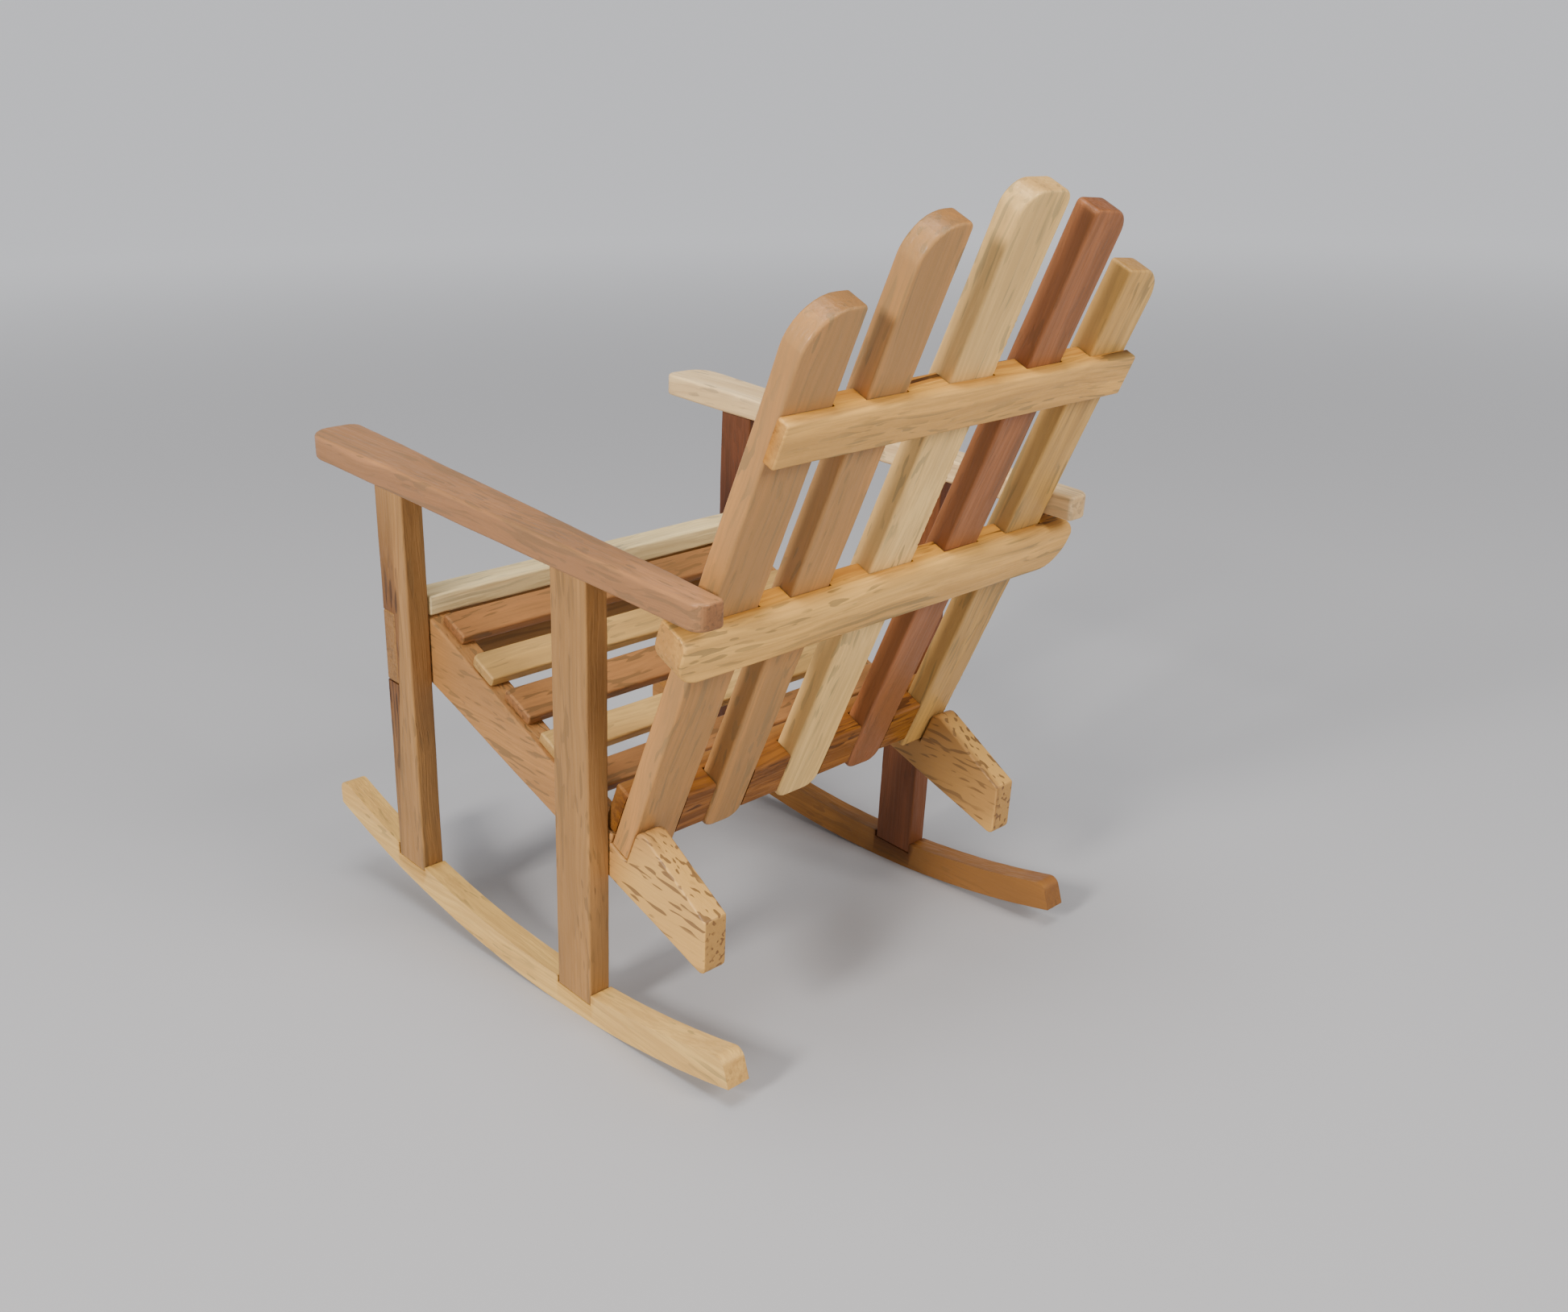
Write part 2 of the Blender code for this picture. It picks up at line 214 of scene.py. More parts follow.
@dataclass(frozen=True)
class Hardwood:
    """Plantation hardwood strip, sawn, hand sanded and dipped in satin varnish.

    It gives the eye straight fibres, short dark pores that show as dashes on long faces and as
    dots on end grain, thin mineral streaks along the grain, and a soft gloss.
    """

    label: str
    slot: Slot
    light: str
    body: str
    dark: str
    pore: str = "33180A"
    # Colour laid on sanded edges: partly worn wood, partly painted highlight.
    edge: str = "E2B87C"
    figure: float = 0.70
    fibres: float = 0.45
    pores: float = 0.55
    pore_cover: float = 0.5
    streaks: float = 0.5
    streak_cover: float = 0.5
    roughness: float = 0.40
    skew: float = 1.5

    def stretched(self, tree: Tree, place: Socket, pattern: Pattern, cover: float = 0.0) -> Socket:
        """Make noise that is drawn out along the grain.

        Args:
            tree: The node tree.
            place: Place in the strip in millimetres, grain along Z.
            pattern: The noise's sizes.
            cover: How much further than the pattern says the noise spreads.

        Returns:
            A value from 0 to 1.
        """
        shift, spread = pattern.shift, 0.3 * cover
        placed = add_node(tree, "ShaderNodeMapping", {
            "Vector": place,
            "Location": (shift, shift * 0.7, shift * 0.3),
            "Scale": (1.0 / pattern.width, 1.0 / pattern.width, 1.0 / pattern.length),
        })
        cloud = add_node(tree, "ShaderNodeTexNoise", {
            "Vector": placed.outputs[0], "Scale": 1.0, "Detail": pattern.octaves, "Roughness": 0.55,
        })
        ranged = add_node(tree, "ShaderNodeMapRange", {
            "Value": cloud.outputs["Fac"],
            "From Min": pattern.low - spread,
            "From Max": pattern.high - spread,
        }, interpolation_type="SMOOTHSTEP")
        return ranged.outputs["Result"]

    def painted(
        self, tree: Tree, under: Socket, colour: str, amount: float, *masks: Socket,
    ) -> Socket:
        """Lay one colour over another where every mask is bright.

        Args:
            tree: The node tree.
            under: The colour underneath.
            colour: The colour laid over it.
            amount: How much of it shows where the masks are 1.
            *masks: Values from 0 to 1 that are multiplied together.

        Returns:
            The mixed colour.
        """
        cover = masks[0]
        for factor in (*masks[1:], amount):
            product = add_node(tree, "ShaderNodeMath", {0: cover, 1: factor}, operation="MULTIPLY")
            cover = product.outputs[0]
        mixed = add_node(tree, "ShaderNodeMix", {
            0: cover, 6: under, 7: linear(colour),
        }, data_type="RGBA")
        return mixed.outputs[2]

    def end_grain(self, tree: Tree, turned: Matrix) -> Socket:
        """Find the sawn ends, which soak up more varnish and go darker.

        Args:
            tree: The node tree.
            turned: The strip's axes, grain along Z.

        Returns:
            A value from 0 on long faces to 1 on ends.
        """
        facing = add_node(tree, "ShaderNodeNewGeometry")
        along = add_node(tree, "ShaderNodeVectorMath", {
            0: facing.outputs["True Normal"], 1: turned.col[2],
        }, operation="DOT_PRODUCT")
        either = add_node(tree, "ShaderNodeMath", {0: along.outputs["Value"]}, operation="ABSOLUTE")
        ranged = add_node(tree, "ShaderNodeMapRange", {
            "Value": either.outputs[0], "From Min": 0.70, "From Max": 0.97,
        })
        return ranged.outputs["Result"]

    def material(
        self, name: str, grain: Matrix, seed: int, stains_and_shade: Sequence[StainAndShade],
    ) -> bpy.types.Material:
        """Make the varnished wood of one piece.

        Args:
            name: Name of the piece.
            grain: World matrix of the strip's axes, grain along Z.
            seed: Number that moves the pattern to another part of the tree.
            stains_and_shade: Patches of darker or paler colour, real marks of the wood and painted
                shade on faces in shadow.

        Returns:
            The material.
        """
        material = bpy.data.materials.new(f"{self.label}_hardwood_{name}")
        material.use_nodes = True
        tree = material.node_tree
        tree.nodes.clear()
        turned = grain.to_3x3().normalized() @ Matrix.Rotation(math.radians(self.skew), 3, "Y")
        offset = turned @ Vector((seed * 13.7, seed * 7.9, seed * 31.3)) * MM
        where = add_node(tree, "ShaderNodeTexCoord")
        strip = add_node(tree, "ShaderNodeMapping", {
            "Vector": where.outputs["Object"],
            "Location": grain.translation - offset,
            "Rotation": turned.to_euler(),
            "Scale": (MM, MM, MM),
        }, vector_type="TEXTURE")

        # The grain wanders about half a millimetre over a centimetre of length.
        drift = add_node(tree, "ShaderNodeMapping", {
            "Vector": strip.outputs[0], "Scale": (0.09, 0.09, 0.045),
        })
        sway = add_node(tree, "ShaderNodeTexNoise", {
            "Vector": drift.outputs[0], "Scale": 1.0, "Detail": 1.5,
        })
        centred = add_node(tree, "ShaderNodeVectorMath", {
            0: sway.outputs["Color"], 1: (0.5, 0.5, 0.5),
        }, operation="SUBTRACT")
        bend = add_node(tree, "ShaderNodeVectorMath", {
            0: centred.outputs[0], 1: (3.2, 3.2, 0.0), 2: strip.outputs[0],
        }, operation="MULTIPLY_ADD")
        place = bend.outputs[0]

        tone = self.stretched(tree, place, TONE)
        fibre = self.stretched(tree, place, FIBRE)
        pore = self.stretched(tree, place, PORE)
        drifts = self.stretched(tree, place, DRIFTS, self.pore_cover)
        zones = self.stretched(tree, place, ZONES, self.streak_cover)
        sanded = add_node(tree, "ShaderNodeAttribute", attribute_name="sanded")

        base = add_node(tree, "ShaderNodeMix", {
            0: tone, 6: linear(self.light), 7: linear(self.body),
        }, data_type="RGBA")
        bands = self.stretched(tree, place, BANDS)
        colour = self.painted(tree, base.outputs[2], self.dark, self.figure * 0.55, bands)
        colour = self.painted(tree, colour, self.dark, self.fibres, fibre)
        colour = self.painted(tree, colour, self.dark, self.streaks * 0.6, zones)
        # Each patch lays darker or paler colour over the wood: some are real marks of the wood, some
        # are painted shade on faces that lie in shadow.
        for colour_patch in stains_and_shade:
            spot = add_node(tree, "ShaderNodeMapping", {
                "Vector": where.outputs["Object"],
                "Location": colour_patch.centre,
                "Rotation": colour_patch.turn,
                "Scale": tuple(radius * MM for radius in colour_patch.radii),
            }, vector_type="TEXTURE")
            ball = add_node(tree, "ShaderNodeTexGradient", {
                "Vector": spot.outputs[0],
            }, gradient_type="SPHERICAL")
            patch_cover = add_node(tree, "ShaderNodeMapRange", {
                "Value": ball.outputs["Fac"], "From Min": 0.02, "From Max": 0.45,
            }, interpolation_type="SMOOTHSTEP")
            colour = self.painted(
                tree, colour, colour_patch.colour, colour_patch.strength, patch_cover.outputs["Result"],
            )
        streak = self.stretched(tree, place, STREAK)
        colour = self.painted(tree, colour, self.pore, self.streaks, streak, zones)
        colour = self.painted(tree, colour, self.pore, self.pores, pore, drifts)
        # Sanded edges are made paler: partly wood worn pale by sanding, partly a painted highlight
        # where the rounded edges catch the light.
        colour = self.painted(tree, colour, self.edge, 0.35, sanded.outputs["Fac"])
        colour = self.painted(tree, colour, self.dark, 0.40, self.end_grain(tree, turned))

        # Open grain under a thin varnish: fibres stand about 16 microns proud, pores sink by
        # about 20, and the ground is uneven by about 40.
        sunk = add_node(tree, "ShaderNodeMath", {0: pore, 1: drifts}, operation="MULTIPLY")
        relief = add_node(tree, "ShaderNodeMath", {
            0: sunk.outputs[0], 1: -1.3, 2: fibre,
        }, operation="MULTIPLY_ADD")
        lumps = self.stretched(tree, strip.outputs[0], LUMPS)
        ground = add_node(tree, "ShaderNodeMath", {
            0: lumps, 1: 2.4, 2: relief.outputs[0],
        }, operation="MULTIPLY_ADD")
        bump = add_node(tree, "ShaderNodeBump", {
            "Height": ground.outputs[0], "Strength": 0.55, "Distance": 0.00003,
        })
        gloss = add_node(tree, "ShaderNodeMapRange", {
            "Value": fibre, "To Min": self.roughness - 0.05, "To Max": self.roughness + 0.10,
        })
        shader = add_node(tree, "ShaderNodeBsdfPrincipled", {
            "Base Color": colour,
            "Roughness": gloss.outputs["Result"],
            "Normal": bump.outputs["Normal"],
            "IOR": 1.5,
            "Specular IOR Level": 0.20,
            "Coat Weight": 0.06,
            "Coat Roughness": 0.28,
        })
        add_node(tree, "ShaderNodeOutputMaterial", {"Surface": shader.outputs[0]})
        return material


@dataclass(frozen=True)
class RestPose:
    """Where the glued chair comes to rest on its rockers."""

    roll: float = math.radians(5.2)
    forward: float = 30.51
    rocker_radius: float = 126.5
    rocker_low: float = 23.9
    lean: float = math.atan(0.394)
    lean_station: float = 32.22

    def chair(self) -> Matrix:
        """Return the matrix from the chair's own axes in millimetres to the world in metres.

        Returns:
            A 4 by 4 matrix.
        """
        lift = self.rocker_radius * (1.0 - math.cos(self.roll))
        lift += self.rocker_low * math.sin(self.roll)
        moved = Matrix.Translation((0.0, -self.forward * MM, lift * MM))
        return moved @ Matrix.Rotation(-self.roll, 4, "X") @ Matrix.Scale(MM, 4)

    def sideways(self, x: float) -> Matrix:
        """Return the matrix of a drawing of station and height, with its middle at one X."""
        turned = Matrix(((0, 0, 1, x), (1, 0, 0, 0), (0, 1, 0, 0), (0, 0, 0, 1)))
        return self.chair() @ turned

    def leaning(self) -> Matrix:
        """Return the matrix from X, D and U in millimetres to the world in metres."""
        moved = Matrix.Translation((0.0, self.lean_station, 0.0))
        return self.chair() @ moved @ Matrix.Rotation(-self.lean, 4, "X")

    def upright(self, depth: float) -> Matrix:
        """Return the matrix of a drawing of X and U, with its middle at one D."""
        turned = Matrix(((1, 0, 0, 0), (0, 0, -1, depth), (0, 1, 0, 0), (0, 0, 0, 1)))
        return self.leaning() @ turned

    def leaning_point(self, depth: float, rise: float) -> tuple[float, float]:
        """Return the station and height of a point given by its D and U."""
        station = self.lean_station + rise * math.sin(self.lean) + depth * math.cos(self.lean)
        return station, rise * math.cos(self.lean) - depth * math.sin(self.lean)


@dataclass(frozen=True)
class Corner:
    """One corner of a drawn outline."""

    x: float
    y: float
    radius: float = 0.0


@dataclass(frozen=True)
class Block:
    """A box between two corners, used for a strip or for a cut."""

    low: tuple[float, float, float]
    high: tuple[float, float, float]

    def mesh(self) -> bmesh.types.BMesh:
        """Return the box as a mesh.

        Returns:
            A closed box.
        """
        shape = bmesh.new()
        bmesh.ops.create_cube(shape, size=1.0)
        size = Vector(self.high) - Vector(self.low)
        bmesh.ops.scale(shape, vec=size, verts=shape.verts)
        middle = (Vector(self.high) + Vector(self.low)) / 2.0
        bmesh.ops.translate(shape, vec=middle, verts=shape.verts)
        return shape


APRON = Block((-HALF_WIDTH, 0.0, 27.4), (HALF_WIDTH, 2.35, 36.0))


class Strip:
    """One strip of wood on the bench: a mesh in millimetres in its own drawing axes."""

    def __init__(self, name: str, shape: bmesh.types.BMesh) -> None:
        """Take up a strip.

        Args:
            name: Name of the piece.
            shape: Its mesh, which the strip now owns.
        """
        self.name = name
        self.shape = shape
        self.sanded = shape.verts.layers.float.new("sanded")

    @classmethod
    def sawn(cls, name: str, block: Block) -> "Strip":
        """Return a strip sawn to a box."""
        return cls(name, block.mesh())

    @classmethod
    def drawn(cls, name: str, corners: Sequence[Corner], thickness: float) -> "Strip":
        """Saw a strip to a drawn outline and round its corners.

        Args:
            name: Name of the piece.
            corners: The outline's corners in order.
            thickness: Thickness, half of it on each side of the drawing.

        Returns:
            The strip.
        """
        shape = bmesh.new()
        rim = [shape.verts.new((corner.x, corner.y, -thickness / 2.0)) for corner in corners]
        lines = [shape.edges.new(pair) for pair in zip(rim, rim[1:] + rim[:1])]
        face = bmesh.ops.contextual_create(shape, geom=lines)["faces"]
        pushed = bmesh.ops.extrude_face_region(shape, geom=face)["geom"]
        lifted = [item for item in pushed if isinstance(item, bmesh.types.BMVert)]
        bmesh.ops.translate(shape, vec=(0.0, 0.0, thickness), verts=lifted)
        bmesh.ops.recalc_face_normals(shape, faces=shape.faces)
        strip = cls(name, shape)
        for corner in corners:
            if corner.radius > 0.0:
                strip.round_corner(corner)
        return strip

    def round_corner(self, corner: Corner) -> None:
        """Round the edge that stands on a drawn corner, with fewer steps where it is small."""
        steps = 4 if corner.radius < 1.5 else 9
        self.round_lines(2, {0: corner.x, 1: corner.y}, corner.radius, steps)

    def round_lines(
        self, axis: int, places: Mapping[int, float], radius: float, steps: int,
    ) -> None:
        """Round the edges that run along one axis at given places on the others.

        Args:
            axis: The axis.
            places: Place of the edges on each other axis that matters.
            radius: Radius of the rounding.
            steps: Segments across it.
        """
        edges = []
        for edge in self.shape.edges:
            start, stop = (vert.co for vert in edge.verts)
            runs = abs((start - stop).normalized()[axis]) > 0.999
            if runs and all(abs(start[other] - place) < 0.001 for other, place in places.items()):
                edges.append(edge)
        self.bevel(edges, radius, steps)

    def bevel(self, edges: list[bmesh.types.BMEdge], width: float, steps: int) -> list:
        """Round edges.

        Args:
            edges: The edges.
            width: Offset of the rounding.
            steps: Segments across it.

        Returns:
            The new faces.
        """
        done = bmesh.ops.bevel(
            self.shape, geom=edges, offset=width, offset_type="OFFSET", segments=steps,
            profile=0.5, affect="EDGES", clamp_overlap=True, material=-1,
        )
        return done["faces"]

    def arris(self, keep: Iterable[int]) -> list[bmesh.types.BMEdge]:
        """Find the sharp outer edges.

        Args:
            keep: Axes of end faces whose edges stay as sawn.

        Returns:
            The edges.
        """
        sharp = []
        for edge in self.shape.edges:
            if not edge.is_manifold or not edge.is_convex:
                continue
            if edge.calc_face_angle(0.0) < SHARP:
                continue
            ends = [axis for axis in keep
                    if any(abs(face.normal[axis]) > 0.9 for face in edge.link_faces)]
            if not ends:
                sharp.append(edge)
        return sharp

    def sand(self, width: float, steps: int = 3, keep: Iterable[int] = ()) -> "Strip":
        """Sand the sharp edges round and mark them as sanded.

        Args:
            width: Width of the sanding.
            steps: Segments across it.
            keep: Axes of end faces whose edges stay as sawn.

        Returns:
            The strip itself.
        """
        self.shape.normal_update()
        for face in self.bevel(self.arris(keep), width, steps):
            for vert in face.verts:
                vert[self.sanded] = 1.0
        return self

    def cut(self, blocks: Sequence[Block]) -> "Strip":
        """Cut boxes out of the strip.

        Args:
            blocks: The boxes, in the strip's drawing axes.

        Returns:
            The strip itself.
        """
        stock = add_object("stock", as_mesh("stock", self.shape.copy()))
        tools = []
        for block in blocks:
            tool = add_object("tool", as_mesh("tool", block.mesh()))
            boolean = stock.modifiers.new("cut", "BOOLEAN")
            boolean.object = tool
            boolean.operation = "DIFFERENCE"
            boolean.solver = "EXACT"
            tools.append(tool)
        evaluated = stock.evaluated_get(bpy.context.evaluated_depsgraph_get())
        mesh = bpy.data.meshes.new_from_object(evaluated)
        self.shape.clear()
        self.shape.from_mesh(mesh)
        layers = self.shape.verts.layers.float
        self.sanded = layers.get("sanded") or layers.new("sanded")
        bmesh.ops.remove_doubles(self.shape, verts=self.shape.verts, dist=0.002)
        for spent in (stock, *tools):
            data = spent.data
            bpy.data.objects.remove(spent, do_unlink=True)
            bpy.data.meshes.remove(data)
        bpy.data.meshes.remove(mesh)
        return self

    def slice_at(self, axis: int, place: float) -> None:
        """Slice the faces along a plane square to an axis.

        Args:
            axis: The axis.
            place: Where the plane crosses it.
        """
        normal = Vector((0.0, 0.0, 0.0))
        normal[axis] = 1.0
        everything = [*self.shape.verts, *self.shape.edges, *self.shape.faces]
        bmesh.ops.bisect_plane(
            self.shape, geom=everything, dist=0.001, plane_co=normal * place, plane_no=normal,
        )

    def fray(self, along: int, side: float, stretch: tuple[float, float], seed: int) -> "Strip":
        """Tear the fibres of one of the two edges that face along X, as a blunt saw leaves them.

        Args:
            along: Axis that the edge runs along.
            side: X of the edge.
            stretch: First and last place of the torn stretch along the edge.
            seed: Number that gives the tear its own shape.

        Returns:
            The strip itself.
        """
        spacing, reach, deepest = 0.28, 0.32, 0.22
        place = stretch[0]
        while place < stretch[1]:
            self.slice_at(along, place)
            place += spacing
        for vert in self.shape.verts:
            near = abs(vert.co.x - side) < reach
            if near and stretch[0] < vert.co[along] < stretch[1]:
                spot = Vector((vert.co[along] * 3.1, seed, vert.co.z * 0.8))
                torn = max(0.0, noise.noise(spot) + 0.25)
                vert.co.x -= math.copysign(deepest * torn, side)
        return self

    def wear(self, axis: int, seed: int, amount: float = 0.05, spacing: float = RING) -> "Strip":
        """Slice the faces into rings and move them a little, as hand sanding leaves them.

        Args:
            axis: Axis that the rings follow one another along.
            seed: Number that gives each strip its own wear.
            amount: Largest move.
            spacing: Distance between rings.

        Returns:
            The strip itself.
        """
        places = [vert.co[axis] for vert in self.shape.verts]
        low, high = min(places), max(places)
        wide = [face for face in self.shape.faces if len(face.verts) > 4]
        bmesh.ops.triangulate(self.shape, faces=wide, ngon_method="EAR_CLIP")
        count = max(1, round((high - low) / spacing))
        for step in range(1, count):
            self.slice_at(axis, low + (high - low) * step / count)
        start = Vector((seed * 5.3, seed * 2.9, seed * 7.1))
        for vert in self.shape.verts:
            broad = noise.noise_vector(vert.co * 0.11 + start)
            fine = noise.noise_vector(vert.co * 0.55 - start)
            vert.co += broad * amount + fine * (amount * 0.35)
        return self

    def place(
        self, matrix: Matrix, wood: Hardwood, grain: Grain, seed: int, stains_and_shade: Sequence[StainAndShade] = (),
    ) -> bpy.types.Object:
        """Place, smooth and dress the strip, hang it on the root body and hide its CAD node.

        Args:
            matrix: Drawing axes in millimetres to the world in metres.
            wood: The wood it is made of.
            grain: Axis of the drawing that the grain runs along.
            seed: Number that gives the strip its own pattern.
            stains_and_shade: Patches of darker or paler colour, real marks of the wood and painted
                shade on faces in shadow.

        Returns:
            The finished object.
        """
        low, high = extent(vert.co for vert in self.shape.verts)
        middle = (low + high) / 2.0
        axes = matrix.to_3x3()
        along = grain.value
        order = [(along + 1) % 3, (along + 2) % 3, along]
        turned = Matrix([axes.col[index].normalized() for index in order]).transposed()
        strip_axes = Matrix.Translation(matrix @ middle) @ turned.to_4x4()
        bmesh.ops.transform(self.shape, matrix=matrix, verts=self.shape.verts)
        bmesh.ops.recalc_face_normals(self.shape, faces=self.shape.faces)
        for face in self.shape.faces:
            face.smooth = True
        mesh = as_mesh(self.name + "_strip", self.shape)
        mesh.set_sharp_from_angle(angle=math.radians(38.0))
        piece = add_object(self.name + "_strip", mesh)
        weighted = piece.modifiers.new("flat_faces_lead", "WEIGHTED_NORMAL")
        weighted.keep_sharp = True
        weighted.weight = 90
        mesh.materials.append(wood.material(self.name, strip_axes, seed, stains_and_shade))
        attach(piece, "root")
        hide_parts(self.name)
        LOG.info("%s: %d faces", piece.name, len(mesh.polygons))
        return piece


HONEY = Hardwood(
    "honey", Slot.HONEY, light="AA641A", body="945210", dark="5C300C",
    streaks=0.8, streak_cover=0.7, pores=0.8, pore_cover=0.65,
)
AMBER = Hardwood(
    "amber", Slot.HONEY, light="F2B656", body="E6A240", dark="92581C",
    edge="F0C77C", streaks=0.9, streak_cover=0.85, pores=0.75,
)
GOLD = Hardwood(
    "golden", Slot.HONEY, light="E0B25E", body="D09A44", dark="A06A2A",
    edge="F0CC84", streaks=0.6, pores=0.6,
)
TAN = Hardwood(
    "tan", Slot.HONEY, light="A87844", body="926232", dark="5E3A1C",
    edge="CDA064", streaks=0.85, streak_cover=0.85, pores=0.85, figure=0.8,
)
TAWNY = Hardwood(
    "tawny", Slot.DEEP_HONEY, light="9A6228", body="7E4A1C", dark="502B10",
    edge="C48E4E", streaks=0.75, pores=0.7,
)
PINKISH = Hardwood(
    "pinkish", Slot.PINK_TAN, light="A2663A", body="884F28", dark="542A12",
    edge="CFA070", streaks=0.95, streak_cover=1.15, pores=0.9, pore_cover=0.7,
)
BEIGE = Hardwood(
    "beige", Slot.PINK_TAN, light="F0CE94", body="E4BA76", dark="AA7C44",
    edge="F0D8AE", streaks=0.65, pores=0.6,
)
CREAM = Hardwood(
    "cream", Slot.PALE, light="F6DA98", body="EAC87C", dark="AE863E",
    edge="F6E8BE", streaks=0.6, pores=0.6,
)
PALE = Hardwood(
    "pale", Slot.PALE, light="F2C272", body="E6AE56", dark="A26E2C",
    edge="F4D898", pores=0.65, streaks=0.65,
)
STREAKED = Hardwood(
    "streaked", Slot.PALE, light="D2A050", body="BE8634", dark="7A4A1C",
    edge="E4BE78", pores=0.75, streaks=0.95, streak_cover=0.7, figure=0.8,
)
RUSSET = Hardwood(
    "russet", Slot.WALNUT, light="94552F", body="784022", dark="46220F",
    edge="BA8052", figure=0.8, streaks=0.8,
)
UMBER = Hardwood(
    "umber", Slot.WALNUT, light="743F24", body="5A2D18", dark="34180B",
    edge="96603C", figure=0.8, streaks=0.8,
)
SALLOW = Hardwood(
    "sallow", Slot.PALE, light="C69A52", body="B6843C", dark="80541F",
    edge="E2C080", pores=0.65, streaks=0.65,
)
ROSY = Hardwood(
    "rosy", Slot.ROSE, light="9E6536", body="88512C", dark="5C3218",
    edge="C8965E", pores=1.0, pore_cover=1.15, streaks=0.75,
)
FLECKED = Hardwood(
    "flecked", Slot.ROSE, light="AE7236", body="965E2C", dark="663A1A",
    edge="D4A468", pores=1.0, pore_cover=1.15, streaks=0.35,
)


@dataclass
class Rockers:
    """The two curved runners, notched for the posts' feet."""

    rest: RestPose
    thick: float = 2.7
    depth: float = 3.35
    bottom_ends: tuple[float, float] = (-13.4, 59.8)
    front_top: Corner = Corner(-13.56, 9.19, 1.9)
    rear_top: Corner = Corner(58.66, 8.33, 3.1)

    def runner(self, name: str) -> Strip:
        """Bend the runner's section round the rocker's centre.

        Args:
            name: Name of the piece.

        Returns:
            The bare runner, drawn as station and height.
        """
        shape = bmesh.new()
        radius, low = self.rest.rocker_radius, self.rest.rocker_low
        first, last = (math.asin((end - low) / radius) for end in self.bottom_ends)
        half = self.thick / 2.0
        bottom = -radius
        section = [
            shape.verts.new((0.0, height, side))
            for height, side in (
                (bottom, -half), (bottom, half),
                (bottom + self.depth, half), (bottom + self.depth, -half),
            )
        ]
        lines = [shape.edges.new(pair) for pair in zip(section, section[1:] + section[:1])]
        bmesh.ops.rotate(
            shape, cent=(0.0, 0.0, 0.0), matrix=Matrix.Rotation(first, 3, "Z"), verts=shape.verts,
        )
        bmesh.ops.spin(
            shape, geom=section + lines, cent=(0.0, 0.0, 0.0), axis=(0.0, 0.0, 1.0),
            angle=last - first, steps=60, use_duplicate=False,
        )
        bmesh.ops.translate(shape, vec=(low, radius, 0.0), verts=shape.verts)
        rims = [edge for edge in shape.edges if edge.is_boundary]
        bmesh.ops.holes_fill(shape, edges=rims, sides=4)
        bmesh.ops.recalc_face_normals(shape, faces=shape.faces)
        # The tops of the two ends are drawn out to their noses.
        for side, top, least in ((1, self.front_top, 7.5), (-1, self.rear_top, 6.5)):
            for vert in sorted(shape.verts, key=lambda vert: side * vert.co.x)[:4]:
                if vert.co.y > least:
                    vert.co.xy = (top.x, top.y)
        return Strip(name, shape)

    def build(self) -> Iterator[bpy.types.Object]:
        """Build both rockers.

        Yields:
            The finished objects.
        """
        # The right rocker's darker wood is painted shade, as it stands in the shadow of the chair.
        for name, side, wood, seed in (
            ("rocker_left", 1, GOLD, 3), ("rocker_right", -1, TAWNY, 11),
        ):
            strip = self.runner(name)
            strip.round_corner(self.front_top)
            strip.round_corner(self.rear_top)
            strip.sand(0.26)
            notches = [
                Block((start - GLUE, height - GLUE, -self.thick),
                      (stop + GLUE, height + 8.0, self.thick))
                for start, stop, height in (FRONT_POST, REAR_POST)
            ]
            strip.cut(notches).wear(0, seed, spacing=1.6)
            stains_and_shade = []
            matrix = self.rest.sideways(side * (HALF_WIDTH - self.thick / 2.0))
            if side < 0:
                # The inner face gets painted shade, as it lies in the chair's shadow; the rear tip is
                # a real darker mark of the wood.
                painted_shade_inner_face = matrix @ Vector((42.0, 3.4, 1.7))
                tip = matrix @ Vector((57.2, 8.0, -0.7))
                stains_and_shade = [
                    StainAndShade(painted_shade_inner_face, (1.5, 24.0, 4.4), "4A2712", 0.75),
                    StainAndShade(tip, (2.0, 3.4, 2.2), "5A2B18", 0.9),
                ]
            yield strip.place(matrix, wood, Grain.X, seed, stains_and_shade)


@dataclass
class Posts:
    """The four square posts that carry the arms."""

    rest: RestPose
    thick: float = 2.6
    top: float = 51.62

    def build(self) -> Iterator[bpy.types.Object]:
        """Build the posts.

        Yields:
            The finished objects.
        """
        for name, side, span, wood, seed in (
            ("front_post_left", 1, FRONT_POST, TAN, 21),
            ("front_post_right", -1, FRONT_POST, UMBER, 25),
            ("rear_post_left", 1, REAR_POST, TAN, 29),
            ("rear_post_right", -1, REAR_POST, UMBER, 34),
        ):
            first, last, foot = span
            inner, outer = sorted((side * (HALF_WIDTH - self.thick), side * HALF_WIDTH))
            strip = Strip.sawn(name, Block((inner, first, foot), (outer, last, self.top)))
            strip.sand(0.22, keep=(2,))
            if span is FRONT_POST:
                strip.cut([Block((inner - PAST, first - PAST, APRON.low[2] - GLUE),
                                 (outer + PAST, APRON.high[1] + GLUE, APRON.high[2] + GLUE))])
            strip.wear(2, seed)
            stains_and_shade = []
            if side > 0:
                # Painted shade on the rear face, which lies in shadow under the arm, down to just
                # above the foot.
                behind = self.rest.chair() @ Vector((inner + 1.1, last + 0.3, 30.0))
                stains_and_shade.append(StainAndShade(behind, (2.1, 1.6, 36.0), "5E3417", 0.85))
            yield strip.place(self.rest.chair(), wood, Grain.Z, seed, stains_and_shade)


